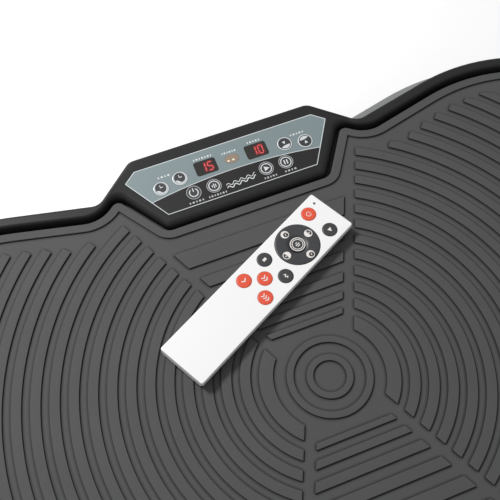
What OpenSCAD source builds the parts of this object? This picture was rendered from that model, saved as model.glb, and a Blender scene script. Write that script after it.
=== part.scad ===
// Oscillating vibration plate: a base on six suction feet carries a bearing block on each side of its
// middle, and a peanut-shaped deck rocks on the axle between them. A motor and belt turn a crank whose
// eccentric drives the deck. The console sits in a hood at one edge, and a remote lies on the mat.
// X runs along the plate, +Y points to the console, +Z is up. The origin is on the floor, midway.

/* [Mat] */
// Height of the mat's flat surface above the floor
mat_z = 125.6; // [125.4:0.1:125.8]
// Thickness of the mat under its ribs
mat_t = 4.4; // [4:0.1:4.4]
// Height of the mat's ribs and border
rib_h = 1.2; // [1:0.1:1.3]
// Distance from one curved rib to the next
rib_pitch = 12; // [11.8:0.1:12.2]
// Width of a curved rib
rib_w = 6.6; // [6:0.1:7]
// Inner radius of the first full-pitch rib
rib_start = 50.6; // [50:0.1:51]
// Width of the raised border along the mat's edge
border_w = 6.3; // [5.5:0.1:7]

/* [Deck] */
// Width of the deck's rim outside the mat
rim_w = 10.3; // [9.8:0.1:10.8]
// Height of the rim's top above the floor
rim_z = 130.4; // [129.6:0.1:130.8]
// Height of the deck's outer wall's lower edge
wall_z = 100; // [99:0.5:102]
// Height of the inner skirt's lower edge
skirt_z = 80; // [78:0.5:84]
// Wall thickness of the deck's plastic shell
shell_t = 3; // [2.5:0.5:3]

/* [Console] */
// Height of the console's face at its near edge
console_z = 127.6; // [127.5:0.1:127.9]
// Slope of the console's face
console_tilt = 5.1; // [4.8:0.1:5.4]
// Diameter of a console key
key_d = 11; // [10.6:0.1:11.1]
// Travel of a console key
key_travel = 0.5; // [0.3:0.1:0.5]

/* [Base] */
// How far the base stands out past the rim
base_out = 32; // [31.5:0.5:32.5]
// Height of the base tray's upper edge
tray_z = 80; // [79:0.5:80]
// Underside of the base tray
tray_floor = 12; // [11.5:0.5:12]
// Wall thickness of the base tray
tray_t = 3; // [2.5:0.5:3]

/* [Drive] */
// Height of the rocker axle
axle_z = 62; // [61.5:0.5:62]
// Distance of the crank from the axle
crank_x = 130; // [129:1:131]
// Height of the crank and the motor
crank_z = 52; // [52:0.5:52.5]
// Offset of the eccentric from the crank's axis
crank_e = 2.7; // [2:0.1:2.7]
// Distance of the motor from the axle
motor_x = 238; // [236:1:240]
// Radius of the crank's pulley
big_pulley_r = 28; // [26:1:28]
// Radius of the motor's pulley
small_pulley_r = 12; // [11:1:12]

/* [Remote] */
// Length of the remote
remote_l = 152.6; // [152:0.1:155]
// Width of the remote
remote_w = 36.5; // [36.3:0.1:38]
// Thickness of the remote
remote_t = 7.5; // [7.4:0.1:7.6]
// Angle at which the remote lies on the mat
remote_turn = 27.4; // [26:0.1:29]
// Diameter of a remote key
remote_key_d = 10.3; // [10:0.1:10.4]

/* [Hidden] */
$fn = 48;
arc_step = 6;

// ---- Outlines: closed paths of corners [x, y, radius], clockwise from the middle of the back ----

function xy(p) = [p[0], p[1]];
function unit(v) = v / norm(v);
function mirrored(half) =
    concat(half, [for (i = [len(half) - 1 : -1 : 0]) [-half[i][0], half[i][1], half[i][2]]]);

// The path moved outwards by d, with each corner's radius grown or shrunk to match
function grown(path, d) = let (n = len(path)) [
    for (i = [0 : n - 1])
        let (u = unit(xy(path[i]) - xy(path[(i + n - 1) % n])),
             v = unit(xy(path[(i + 1) % n]) - xy(path[i])),
             side = ([-u[1], u[0]] + [-v[1], v[0]]) / (1 + u * v),
             swell = cross(u, v) < 0 ? d : -d)
        [path[i][0] + d * side[0], path[i][1] + d * side[1], max(0.4, path[i][2] + swell)]];

function wrapped(a) = a > 180 ? a - 360 : (a < -180 ? a + 360 : a);
function angle_at(c, p) = atan2(p[1] - c[1], p[0] - c[0]);

// The points of a path with every corner turned into an arc
function rounded(path) = let (n = len(path)) [
    for (i = [0 : n - 1])
        let (b = xy(path[i]), r = path[i][2],
             u = unit(xy(path[(i + n - 1) % n]) - b), v = unit(xy(path[(i + 1) % n]) - b),
             half = acos(u * v) / 2, reach = r / tan(half),
             centre = b + unit(u + v) * r / sin(half),
             from = angle_at(centre, b + u * reach),
             turn = wrapped(angle_at(centre, b + v * reach) - from),
             steps = max(1, ceil(abs(turn) / arc_step)))
            for (k = [0 : steps])
                centre + r * [cos(from + turn * k / steps), sin(from + turn * k / steps)]];

// The mat's edge has a notch for the console, a waist opposite, and a broad lobe at each end
notch = [[61.5, 137.5, 9], [86.5, 174.5, 5], [102.5, 161.8, 24]];
lobe = [[311, 211.4, 130], [324, 0, 400], [311, -211.4, 130], [70, -152, 120]];
mat_path = mirrored(concat(notch, lobe));

// Corners of the lobes alone, moved outwards by d
function lobes(d) = let (path = grown(mat_path, d))
    [for (i = [0 : len(lobe) - 1]) path[len(notch) + i]];

rim_path = mirrored(concat([[69.4, 199.5, 10], [100, 173.6, 10]], lobes(rim_w)));
skirt_path = mirrored(concat([[90, 163.4, 60]], lobes(4.3)));
back_y = 197.8;
base_path = mirrored(concat([[72, back_y, 80]], lobes(rim_w + base_out)));

module plate(path, d, z0, z1)
    translate([0, 0, z0]) linear_extrude(z1 - z0) polygon(rounded(grown(path, d)));

module wall(path, outer, inner, z0, z1) difference() {
    plate(path, outer, z0, z1);
    plate(path, inner, z0 - 1, z1 + 1);
}

// ---- Small shapes ----

module block(x0, x1, y0, y1, z0, z1)
    translate([x0, y0, z0]) cube([x1 - x0, y1 - y0, z1 - z0]);

module rod(r, y0, y1) translate([0, y0, 0]) rotate([-90, 0, 0]) cylinder(r = r, h = y1 - y0);

module sleeve(r_in, r_out, y0, y1) difference() {
    rod(r_out, y0, y1);
    rod(r_in, y0 - 1, y1 + 1);
}

module drill(spots, r, z0, z1)
    for (p = spots) translate([p[0], p[1], z0]) cylinder(r = r, h = z1 - z0);

module both_ends() {
    children();
    mirror([0, 1, 0]) children();
}

module at_axle() translate([0, 0, axle_z]) children();
module at_crank() translate([crank_x, 0, crank_z]) children();
module at_motor() translate([motor_x, 0, crank_z]) children();

// ---- Base: tray, trim and steel chassis ----

foot_spots = [for (x = [-285, 0, 285], y = [-132, 132]) [x, y]];
screw_spots = [for (x = [-200, -80, 80, 200], y = [-132, 132]) [x, y]];
floor_top = tray_floor + 3;
beam_top = floor_top + 22;
beam_y = [117, 147];
step_z = 42;
step_in = 7;
port_z = 58;
inlet_x = 34;
inlet = [28, 20];
fuse_z = 72.6;
fuse = [20, 6.4];
switch_x = -6;
switch = [13, 19];

module port(x, z, size) translate([x, back_y, z]) cube([size[0], 12, size[1]], center = true);

module base_tray() color("#1b1c1e") difference() {
    union() {
        plate(base_path, 0, step_z, tray_z);
        plate(base_path, -step_in, tray_floor, step_z);
    }
    plate(base_path, -tray_t, step_z + tray_t, tray_z + 1);
    plate(base_path, -step_in - tray_t, floor_top, tray_z);
    drill(foot_spots, 4.2, 0, 20);
    drill(screw_spots, 2.7, 0, 20);
    port(inlet_x, port_z, inlet);
    port(inlet_x, fuse_z, fuse);
    port(switch_x, port_z, switch);
}

// The silver ring rises in four steps from the tray's edge to the gap round the deck's skirt
trim_step = [4.2, 2.4];
module side_trim() color("#9da1a5") difference() {
    for (i = [0 : 3])
        plate(base_path, -1.2 - i * trim_step[0], tray_z, tray_z + (i + 1) * trim_step[1]);
    plate(skirt_path, 4.6, tray_z - 1, tray_z + 12);
}

module chassis() color("#34363a") difference() {
    union() {
        both_ends() difference() {
            block(-300, 300, beam_y[0], beam_y[1], floor_top, beam_top);
            block(-301, 301, beam_y[0] + 2, beam_y[1] - 2, floor_top + 2, beam_top - 2);
        }
        for (x = [-285, 0, 285]) difference() {
            block(x - 14, x + 14, -beam_y[0], beam_y[0], floor_top, beam_top);
            block(x - 12, x + 12, -beam_y[0] - 1, beam_y[0] + 1, floor_top + 2, beam_top - 2);
        }
    }
    drill(foot_spots, 4.2, 0, floor_top + 5);
    drill(screw_spots, 2.7, 0, floor_top + 5);
}

plate_top = floor_top + 4;
module drive_plate() color("#6d7176") block(80, 270, -100, 100, floor_top, plate_top);

// One suction foot: a flared rubber cup on a stud that goes up into the chassis
module foot() rotate_extrude()
    polygon([[0, 3], [14, 0], [20, 0], [21, 1.5], [13, 5], [12, tray_floor], [4, tray_floor],
             [4, floor_top + 14], [0, floor_top + 14]]);

module suction_feet() color("#161616")
    for (p = foot_spots) translate([p[0], p[1], 0]) foot();

module tray_screws() color("#8a8d91") for (p = screw_spots) translate([p[0], p[1], 0]) {
    translate([0, 0, tray_floor - 2.6]) cylinder(r = 4.6, h = 2.6);
    translate([0, 0, tray_floor]) cylinder(r = 2.5, h = 10);
}

// ---- Base: bearings and stops ----

axle_r = 10;
axle_bearing = [120, 134];
axle_bearing_r = 23.5;
crank_r = 5;
crank_bearing = [29.5, 38.5];
crank_bearing_r = 15;
fit = 0.03;

module axle_block() difference() {
    union() {
        at_axle() rod(29, 118, 136);
        block(-29, 29, 118, 136, beam_top, axle_z);
        block(-42, 42, 118, 136, beam_top, beam_top + 8);
    }
    block(-43, 43, 117, 137, floor_top, beam_top);
    at_axle() rod(axle_bearing_r + 0.02, axle_bearing[0], 137);
    at_axle() rod(axle_bearing_r - 4, 117, 137);
}

module crank_block() difference() {
    union() {
        at_crank() rod(20, 28, 40);
        block(crank_x - 20, crank_x + 20, 28, 40, plate_top, crank_z);
    }
    at_crank() rod(crank_bearing_r + 0.02, crank_bearing[0], 41);
    at_crank() rod(crank_bearing_r - 3, 27, 41);
}

module bearing_blocks() color("#50545a") both_ends() {
    axle_block();
    crank_block();
}

module ball_bearings() color("#c9ccd0") both_ends() {
    at_axle() sleeve(axle_r + fit, axle_bearing_r, axle_bearing[0], axle_bearing[1]);
    at_crank() sleeve(crank_r + fit, crank_bearing_r, crank_bearing[0], crank_bearing[1]);
}

stop_spots = [for (x = [-250, 250], y = [-124, 124]) [x, y]];
module bump_stops() color("#1a1a1a") for (p = stop_spots) translate([p[0], p[1], beam_top]) {
    cylinder(r = 13, h = 30);
    cylinder(r1 = 13, r2 = 9, h = 50, $fn = 96);
}

// ---- Base: motor, belt and electrics ----

motor_r = 31;
belt_y = [62, 76];

module motor_can() color("#2a2c2f") at_motor() difference() {
    rod(motor_r, -62, 50);
    rod(motor_r - 3, -58, 46);
    rod(4 + fit, -63, 51);
}

module motor_bracket() color("#6d7176") difference() {
    union() {
        block(motor_x - 36, motor_x + 30, 50, 54, plate_top, crank_z + motor_r);
        block(motor_x - 36, motor_x + 30, 54, 60, plate_top, plate_top + 4);
    }
    at_motor() rod(9, 49, 55);
}

// The belt's loop, as the outline of two discs joined by their outer tangents
module loop(r_big, r_small, span) {
    lean = acos((r_big - r_small) / span);
    circle(r = r_big, $fn = 96);
    translate([span, 0]) circle(r = r_small, $fn = 96);
    polygon([r_big * [cos(lean), sin(lean)], [span, 0] + r_small * [cos(lean), sin(lean)],
             [span, 0] + r_small * [cos(lean), -sin(lean)], r_big * [cos(lean), -sin(lean)]]);
}

module drive_belt() color("#141414") at_crank()
    translate([0, belt_y[1] - 1, 0]) rotate([90, 0, 0]) linear_extrude(belt_y[1] - belt_y[0] - 2)
        difference() {
            loop(big_pulley_r + 2.6, small_pulley_r + 2.6, motor_x - crank_x);
            loop(big_pulley_r + 0.1, small_pulley_r + 0.1, motor_x - crank_x);
        }

module control_board() color("#1f6b3a") {
    block(-230, -110, -55, 55, floor_top + 8, floor_top + 9.6);
    for (x = [-222, -118], y = [-47, 47])
        translate([x, y, floor_top]) cylinder(r = 4, h = 8.5);
    for (i = [0 : 2]) translate([-215 + i * 24, 30, floor_top + 9]) cylinder(r = 9, h = 26);
    block(-150, -126, -45, 20, floor_top + 9, floor_top + 35);
    block(-222, -170, -45, -10, floor_top + 9, floor_top + 31);
}

socket = [24, 16.4];
socket_depth = 17;
pins = [[-7, -1], [7, -1], [0, 4.2]];
module mains_inlet() color("#17181a") {
    difference() {
        union() {
            translate([inlet_x, back_y - 12, port_z])
                cube([inlet[0] - 0.4, 30, inlet[1] - 0.4], center = true);
            translate([inlet_x, back_y + 1.1, port_z + 4])
                cube([34, 2.2, 37], center = true);
        }
        translate([inlet_x, back_y + 3 - socket_depth / 2, port_z])
            cube([socket[0], socket_depth, socket[1]], center = true);
        port(inlet_x, fuse_z, fuse);
    }
    for (p = pins)
        translate([inlet_x + p[0], back_y - 7, port_z + p[1]]) cube([2, 14.5, 4], center = true);
}

module fuse_drawer() color("#2b2c2e") translate([inlet_x, back_y, fuse_z]) {
    translate([0, -11, 0]) cube([fuse[0] - 0.4, 26, fuse[1] - 0.4], center = true);
    translate([0, 2.8, 0]) cube([12, 1.6, 2.4], center = true);
}

// The rocker turns on a pin that runs into the frame's side walls
switch_pivot = [switch_x, back_y - 3, port_z];
pin_r = 1.2;
module switch_pin(r, length) rotate([0, 90, 0]) cylinder(r = r, h = length, center = true);

module switch_frame() color("#17181a") difference() {
    translate([switch_x, back_y, port_z]) difference() {
        union() {
            translate([0, -9, 0]) cube([switch[0] - 0.4, 18, switch[1] - 0.4], center = true);
            translate([0, 0.8, 0]) cube([switch[0] + 4, 1.6, switch[1] + 4], center = true);
        }
        translate([0, -3, 0]) cube([switch[0] - 2.4, 16, switch[1] - 2.4], center = true);
    }
    translate(switch_pivot) switch_pin(pin_r + 0.03, switch[0] + 2);
}

// The rocker is shown switched off, leaning by switch_lean
switch_lean = 9;
module mains_switch() color("#b3261e") translate(switch_pivot) rotate([switch_lean, 0, 0]) {
    difference() {
        translate([0, 0.4, 0]) cube([switch[0] - 3.2, 7.6, switch[1] - 5.4], center = true);
        for (s = [-1, 1]) translate([0, 5, s * 5]) rotate([s * 14, 0, 0])
            cube([switch[0], 2.4, 10], center = true);
    }
    switch_pin(pin_r, switch[0] - 0.8);
}

// ---- Rotor and crank ----

module motor_shaft() color("#c4c7cb") at_motor() rod(4, -61.5, 79);

module armature() color("#8c5a2e") at_motor() sleeve(4.02, 25, -50, 38);

// A flat-belt pulley with a flange on each side of the belt
module pulley(r, bore, y0, y1) difference() {
    union() {
        rod(r, y0, y1);
        rod(r + 3, y0 - 1.5, y0 + 0.5);
        rod(r + 3, y1 - 0.5, y1 + 1.5);
    }
    rod(bore, y0 - 3, y1 + 3);
}

module motor_pulley() color("#a9adb2") at_motor()
    pulley(small_pulley_r, 4.02, belt_y[0], belt_y[1]);

module crank_pulley() color("#a9adb2") at_crank()
    pulley(big_pulley_r, crank_r + 0.02, belt_y[0], belt_y[1]);

lobe_shaft_r = 8.5;
module crank_shaft() color("#b9bdc2") at_crank() {
    rod(crank_r, -42, 80);
    translate([crank_e, 0, 0]) rod(lobe_shaft_r, -8, 8);
}

module eccentric_bearing() color("#c9ccd0") at_crank()
    translate([crank_e, 0, 0]) sleeve(lobe_shaft_r + 0.02, 17.5, -5, 5);

// ---- Deck: shell, frame, mat and axle ----

recess_z = mat_z - mat_t;
deck_floor = recess_z - shell_t;
frame_top = deck_floor - 3;
frame_z = 94.2;
frame_y = [105.5, 130.5];
deck_screw_spots = [for (x = [-190, -60, 60, 190], y = [-118, 118]) [x, y]];
skirt_t = 2.5;
hood_x = 88;
hood_front = 138;

module on_console()
    translate([0, 149, console_z]) rotate([console_tilt, 0, 0]) children();

module top_shell() color("#202124") difference() {
    union() {
        difference() {
            plate(rim_path, 0, wall_z, recess_z);
            plate(rim_path, -shell_t, wall_z - 1, deck_floor);
        }
        wall(skirt_path, 0, -skirt_t, skirt_z, deck_floor + 1);
    }
    drill(deck_screw_spots, 3.2, deck_floor - 1, recess_z + 1);
    drill(deck_screw_spots, 6.2, recess_z - 1.8, recess_z + 1);
}

// The raised rim and the console's hood stand on the shell's edge and leave the mat's recess open.
// The rim's outer edge is rounded in two steps: [height below the top, distance in].
rim_step = [[3.6, 0.9], [1.3, 2.4]];
module rim_hood() color("#202124") difference() {
    union() {
        plate(rim_path, 0, recess_z, rim_z - rim_step[0][0]);
        plate(rim_path, -rim_step[0][1], recess_z, rim_z - rim_step[1][0]);
        plate(rim_path, -rim_step[1][1], recess_z, rim_z);
        intersection() {
            plate(rim_path, -rim_step[1][1], recess_z, rim_z + 4);
            block(-hood_x, hood_x, hood_front, back_y + 4, recess_z, rim_z + 4);
        }
    }
    plate(mat_path, shell_t, recess_z - 1, rim_z + 9);
    on_console() block(-hood_x - 1, hood_x + 1, -11, 60, 0, 20);
    on_console() plate(face_path, 0.1, -0.5, 1);
    on_console() plate(face_path, -3, board_z, 1);
}

module deck_plate() color("#7b8086") difference() {
    intersection() {
        plate(mat_path, -8, frame_top, deck_floor);
        plate(skirt_path, -skirt_t - 2, frame_top - 1, deck_floor + 1);
    }
    drill(deck_screw_spots, 3.2, frame_top - 1, deck_floor + 1);
}

module tube_x(y0, y1, length) difference() {
    block(-length / 2, length / 2, y0, y1, frame_z, frame_top);
    block(-length / 2 - 1, length / 2 + 1, y0 + 2, y1 - 2, frame_z + 2, frame_top - 2);
}

module ear() difference() {
    union() {
        at_axle() rod(18, frame_y[0], frame_y[0] + 6);
        block(-18, 18, frame_y[0], frame_y[0] + 6, axle_z, frame_z + 1);
    }
    at_axle() rod(axle_r + 0.02, frame_y[0] - 1, frame_y[0] + 7);
}

module deck_frame() color("#3a3d42") difference() {
    union() {
        both_ends() {
            tube_x(frame_y[0], frame_y[1], 520);
            ear();
        }
        for (x = [-190, -crank_x, crank_x, 190]) difference() {
            block(x - 12.5, x + 12.5, -frame_y[0], frame_y[0], frame_z, frame_top);
            block(x - 10.5, x + 10.5, -frame_y[0] - 1, frame_y[0] + 1, frame_z + 2, frame_top - 2);
        }
    }
    drill(deck_screw_spots, 3.2, frame_top - 3, frame_top + 1);
}

module deck_screws() color("#b0b3b7") for (p = deck_screw_spots) translate([p[0], p[1], 0]) {
    translate([0, 0, recess_z - 1.8]) cylinder(r = 6, h = 1.8);
    translate([0, 0, frame_top - 10]) cylinder(r = 3, h = recess_z - 1.8 - frame_top + 10);
}

module rocker_axle() color("#c4c7cb") at_axle() rod(axle_r, -140, 140);

module drive_yoke() color("#4a4e54") difference() {
    block(crank_x - 32, crank_x + 32, -5, 5, crank_z - 28.5, frame_z);
    at_crank() rod(24, -6, 6);
}

// The mat's ribs: arcs about the middle in each lobe, and bars across the waist
ring_bands = [[10.6, 14.9], [23.1, 27.6]];
first_band = [36.1, 45.2];
rib_count = 22;
bars = [[36.6, 40.5], [46.3, 51.3], [58, 64.1], [71.6, 78.6], [87.1, 95.4], [104.8, 118.3]];
sector = 25.2;
arc_start = 15;
bar_end = 7.3;
reach = 420;

module band(r0, r1) difference() {
    circle(r = r1, $fn = 144);
    circle(r = r0, $fn = 144);
}

// The wedge of one lobe, whose sides run at the sector angle from the Y axis
module wedge() {
    tip = [arc_start / cos(sector), 0];
    polygon([tip, tip + reach * [sin(sector), cos(sector)], [2 * reach, 0],
             tip + reach * [sin(sector), -cos(sector)]]);
}

module bar(span) {
    near = (bar_end + span[0] * sin(sector)) / cos(sector);
    far = (bar_end + span[1] * sin(sector)) / cos(sector);
    polygon([[-near, span[0]], [-far, span[1]], [far, span[1]], [near, span[0]]]);
}

module rib_pattern() {
    for (r = ring_bands) band(r[0], r[1]);
    for (m = [0, 1]) mirror([m, 0]) intersection() {
        union() {
            band(first_band[0], first_band[1]);
            for (i = [0 : rib_count - 1])
                band(rib_start + i * rib_pitch, rib_start + i * rib_pitch + rib_w);
        }
        wedge();
        polygon(rounded(grown(mat_path, -border_w - 8.9)));
    }
    for (m = [0, 1], b = bars) mirror([0, m]) bar(b);
}

module rubber_mat() color("#4b4c4e") {
    plate(mat_path, 0, recess_z, mat_z);
    wall(mat_path, 0, -border_w, mat_z - 0.5, mat_z + rib_h);
    translate([0, 0, mat_z - 0.5]) linear_extrude(rib_h + 0.5) rib_pattern();
}

// ---- Console: printed face, board, displays and keys ----

face_path = mirrored([[68.5, 40.8, 0.8], [77.6, 33.5, 0.8], [56.7, 0, 0.8]]);
board_z = -6.1;
board_top = board_z + 1.6;
display = [16.2, 11.4];
display_spots = [[-19, 26.6], [19.8, 26.6]];
ir_size = [5.4, 3.6];
ir_spot = [0.8, 26.4];
upper_keys = [[-54.7, 21.2], [-39.5, 24.3], [41, 24.4], [56, 21.4]];
lower_keys = [[-34.2, 10.2], [-19, 10.2], [20.9, 10.2], [36.1, 10.2]];

module display_shape(d)
    for (p = display_spots) translate(p) square([display[0] + d, display[1] + d], center = true);

module ir_shape(d) translate(ir_spot)
    polygon([for (a = [0 : 10 : 350]) [(ir_size[0] + d) * cos(a), (ir_size[1] + d) * sin(a)]]);

module console_overlay() color("#8a979b") on_console() difference() {
    plate(face_path, 0, -0.5, 0);
    drill(concat(upper_keys, lower_keys), key_d / 2 + 0.2, -1, 1);
    translate([0, 0, -1]) linear_extrude(2) {
        display_shape(0.2);
        ir_shape(0.1);
    }
}

module console_board() color("#1f6b3a") on_console() plate(face_path, -3.4, board_z, board_top);

module led_displays() color("#3a0d0d") on_console()
    translate([0, 0, board_top]) linear_extrude(-0.9 - board_top) display_shape(-0.6);

module display_windows() color("#1a1416") on_console()
    translate([0, 0, -0.5]) linear_extrude(0.5) display_shape(0);

module ir_window() color("#7a6658") on_console()
    translate([0, 0, -0.5]) linear_extrude(0.7) ir_shape(0);

module console_key(spot, tint) color(tint) on_console()
    translate([spot[0], spot[1], board_top + key_travel + 0.1])
        cylinder(d = key_d, h = 0.3 - board_top - key_travel - 0.1);

// ---- Remote, lying on the mat's ribs: its own x runs to its head ----

remote_spot = [-18.6, 73.2];
remote_path = let (x = remote_l / 2, y = remote_w / 2)
    [[x, y, 1.6], [x, -y, 1.6], [-x, -y, 1.6], [-x, y, 1.6]];
half_z = 4;
remote_skin = 1.4;
base_lean = 25;
ring_spot = [39, 0];
ring_r = 15.45;
centre_d = 11.3;
key_row = 9.3;
remote_press = 0.3;
drawer = [28, 24];
cell_u = -62;
post_spots = [[60, 12], [60, -12], [-20, 12], [-20, -12]];
lamp_spot = [71.5, 11.8];
round_keys = [[62.3, key_row], [62.3, -key_row], [15.6, key_row], [15.6, -key_row],
              [-5.2, key_row], [5.1, 0], [-5.2, -key_row]];

module on_remote() translate([remote_spot[0], remote_spot[1], mat_z + rib_h])
    rotate([0, 0, remote_turn]) children();

module led_bore(r) translate([remote_l / 2 - 5.4, 0, 5.2]) rotate([0, 90, 0])
    cylinder(r = r, h = 5.4);

module remote_top() color("#f2f2f0") on_remote() difference() {
    union() {
        plate(remote_path, 0, half_z, remote_t - 0.6);
        plate(remote_path, -0.6, remote_t - 0.6, remote_t);
    }
    plate(remote_path, -remote_skin, half_z - 1, remote_t - remote_skin);
    drill(round_keys, remote_key_d / 2 + 0.15, half_z, remote_t + 1);
    drill([ring_spot], ring_r + 0.2, half_z, remote_t + 1);
    drill([lamp_spot], 0.9, half_z, remote_t + 1);
    translate([1, 0, 0]) led_bore(0.95);
}

// The base's long sides lean in towards the bottom
module lean_cut() for (turn = [0, 180]) rotate([0, 0, turn])
    translate([0, remote_w / 2, half_z - 0.6]) rotate([-base_lean, 0, 0])
        block(-remote_l, remote_l, 0, 9, -9, 0);

module remote_base() color("#e9e9e6") on_remote() {
    difference() {
        plate(remote_path, 0, 0, half_z);
        block(-remote_l / 2 + 1.5, remote_l / 2 - 1.5, -15.2, 15.2, 1, half_z + 1);
        lean_cut();
        block(-remote_l / 2 - 1, -remote_l / 2 + 3, -drawer[1] / 2 - 0.2, drawer[1] / 2 + 0.2,
              1, half_z + 1);
    }
    for (p = post_spots) translate([p[0], p[1], 0.5]) cylinder(r = 2, h = half_z - 0.5);
}

module remote_board() color("#1f6b3a") on_remote()
    block(-remote_l / 2 + 4, remote_l / 2 - 6, -15, 15, half_z, half_z + 1);

module remote_lamp() color("#5a5a5a") on_remote() translate([lamp_spot[0], lamp_spot[1], 5.2])
    cylinder(r = 0.8, h = remote_t - 5.2);

module remote_led() color("#2c2038") on_remote() led_bore(0.9);

module cell_drawer() color("#e9e9e6") on_remote() difference() {
    block(-remote_l / 2, -remote_l / 2 + drawer[0], -drawer[1] / 2, drawer[1] / 2, 1.1, 3.9);
    translate([cell_u, 0, 1.4]) cylinder(r = 10.15, h = 4);
}

module coin_cell() color("#c4c7cb") on_remote()
    translate([cell_u, 0, 1.4]) cylinder(r = 10, h = 2.5);

module remote_key(spot, d, tint) color(tint) on_remote()
    translate([spot[0], spot[1], half_z + 1 + remote_press + 0.1])
        cylinder(d = d, h = remote_t + 0.3 - half_z - 1 - remote_press - 0.1);

module remote_ring() color("#3a3b3e") on_remote()
    translate([ring_spot[0], ring_spot[1], half_z + 1 + remote_press + 0.1]) difference() {
        cylinder(r = ring_r, h = remote_t + 0.1 - half_z - 1 - remote_press, $fn = 96);
        translate([0, 0, -1]) cylinder(r = centre_d / 2 + 0.2, h = 9);
    }

red = "#e8452c";
black = "#333438";
silver = "#b9bec2";

base_tray();
side_trim();
chassis();
drive_plate();
suction_feet();
bearing_blocks();
ball_bearings();
bump_stops();
motor_can();
motor_bracket();
drive_belt();
control_board();
mains_inlet();
fuse_drawer();
switch_frame();
tray_screws();
mains_switch();
motor_shaft();
armature();
motor_pulley();
crank_shaft();
crank_pulley();
eccentric_bearing();
top_shell();
rim_hood();
deck_plate();
deck_frame();
rubber_mat();
rocker_axle();
drive_yoke();
deck_screws();
console_overlay();
console_board();
led_displays();
display_windows();
ir_window();
console_key(upper_keys[0], silver);  // time_down_key
console_key(upper_keys[1], silver);  // time_up_key
console_key(upper_keys[2], silver);  // speed_down_key
console_key(upper_keys[3], silver);  // speed_up_key
console_key(lower_keys[0], black);  // power_key
console_key(lower_keys[1], black);  // program_key
console_key(lower_keys[2], black);  // start_key
console_key(lower_keys[3], black);  // pause_key
remote_top();
remote_base();
remote_board();
remote_lamp();
remote_led();
cell_drawer();
coin_cell();
remote_key(round_keys[0], remote_key_d, red);  // remote_power
remote_key(round_keys[1], remote_key_d, black);  // remote_start
remote_ring();
remote_key(ring_spot, centre_d, silver);  // remote_centre
remote_key(round_keys[2], remote_key_d, black);  // remote_stop
remote_key(round_keys[3], remote_key_d, black);  // remote_mode
remote_key(round_keys[4], remote_key_d, red);  // remote_pace_1
remote_key(round_keys[5], remote_key_d, red);  // remote_pace_2
remote_key(round_keys[6], remote_key_d, red);  // remote_pace_3
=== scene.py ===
"""The looks of the vibration plate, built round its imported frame.

Sizes are in millimetres, as in the design, and MM turns them into Blender's metres. X runs along the
plate, +Y points to the console and +Z is up, with the origin on the floor under the middle.
"""
from math import acos, asin, atan2, ceil, copysign, cos, degrees, hypot, pi, radians, sin, tan

import bmesh
import bpy
from mathutils import Matrix, Vector
from mathutils.geometry import delaunay_2d_cdt


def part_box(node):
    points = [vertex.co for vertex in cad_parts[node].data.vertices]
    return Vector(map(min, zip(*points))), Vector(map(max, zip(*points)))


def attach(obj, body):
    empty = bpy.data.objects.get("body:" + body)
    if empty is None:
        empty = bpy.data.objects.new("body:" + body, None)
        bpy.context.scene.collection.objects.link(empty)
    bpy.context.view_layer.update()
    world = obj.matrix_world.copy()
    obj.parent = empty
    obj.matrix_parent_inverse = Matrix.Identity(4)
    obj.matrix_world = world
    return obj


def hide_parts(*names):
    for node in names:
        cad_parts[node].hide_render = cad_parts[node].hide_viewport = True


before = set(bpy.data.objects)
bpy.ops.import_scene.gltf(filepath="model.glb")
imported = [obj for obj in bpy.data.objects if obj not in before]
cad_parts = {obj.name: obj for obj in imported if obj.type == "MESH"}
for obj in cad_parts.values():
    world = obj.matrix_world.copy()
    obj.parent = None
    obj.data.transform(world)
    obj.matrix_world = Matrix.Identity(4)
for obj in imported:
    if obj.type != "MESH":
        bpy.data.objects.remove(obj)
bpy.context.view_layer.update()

MM = 0.001


def adjusted(thing, **settings):
    """The thing, with those settings."""
    for name, value in settings.items():
        setattr(thing, name, value)
    return thing


def low(node):
    """The lowest corner of a CAD node, in millimetres."""
    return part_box(node)[0] / MM


def high(node):
    """The highest corner of a CAD node, in millimetres."""
    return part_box(node)[1] / MM


# ---- Sizes, from the frame where it holds them ----

RECESS_Z = low("rubber_mat").z
MAT_TOP = high("rubber_mat").z
RIB_H = 1.2
MAT_Z = MAT_TOP - RIB_H
WALL_Z, RIM_Z = 100.0, 130.4
SHELL_T = 3.0
DECK_FLOOR = RECESS_Z - SHELL_T
SKIRT_Z = low("top_shell").z
TRAY_Z = high("base_tray").z
TRAY_FLOOR = low("base_tray").z
STEP_Z, PORT_Z = 42.0, 58.0
TRIM_TOP = high("side_trim").z
BACK_Y = 197.8
CONSOLE_Y, CONSOLE_Z, CONSOLE_TILT = 149.0, 127.6, radians(5.1)

# ---- Outlines: closed paths of corners (x, y, radius), clockwise from the middle of the back ----

ARC_STEP = radians(3)
RIM_W, BASE_OUT = 10.3, 32.0


def mirrored(half):
    return half + [(-x, y, r) for x, y, r in reversed(half)]


def mitre(u, v, least=0.0):
    """How a corner between the directions u and v moves when both of its edges move left by one."""
    return (Vector((-u.y, u.x)) + Vector((-v.y, v.x))) / max(least, 1 + u.dot(v))


def grown(path, d):
    """The path moved outwards by d, with each corner's radius changed to match."""
    moved = []
    for i, (x, y, r) in enumerate(path):
        before, after = path[i - 1], path[(i + 1) % len(path)]
        u = Vector((x - before[0], y - before[1])).normalized()
        v = Vector((after[0] - x, after[1] - y)).normalized()
        side = mitre(u, v)
        swell = d if u.cross(v) < 0 else -d
        moved.append((x + d * side.x, y + d * side.y, max(0.4, r + swell)))
    return moved


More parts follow.
